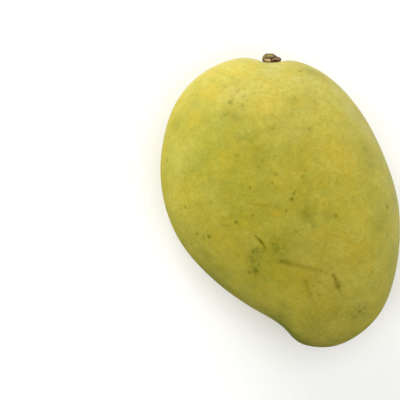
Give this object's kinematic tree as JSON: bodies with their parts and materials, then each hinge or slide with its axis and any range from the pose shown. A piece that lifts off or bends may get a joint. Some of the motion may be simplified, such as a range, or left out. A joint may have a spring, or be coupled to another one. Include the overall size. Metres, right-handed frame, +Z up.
{
  "type": "mango",
  "caption": "Whole green-yellow mango with a hooked nose and the woody stub of its stalk, lying on one cheek.",
  "frame": {"origin": "on the surface that the fruit lies on, under the middle of its bounding box", "axes": "+Y from the nose to the stalk end, +X to the fuller back edge, +Z up through both cheeks"},
  "size_m": [0.088, 0.1152, 0.0702],
  "materials": {
    "skin": "smooth waxy skin, yellow-green with darker green clouds, fine pale pores, specks and scratches",
    "dry_stalk": "dry torn wood, dark brown with tan and olive patches"
  },
  "bodies": {
    "root": {"fruit": "skin", "stem_stub": "dry_stalk"}
  },
  "joints": []
}
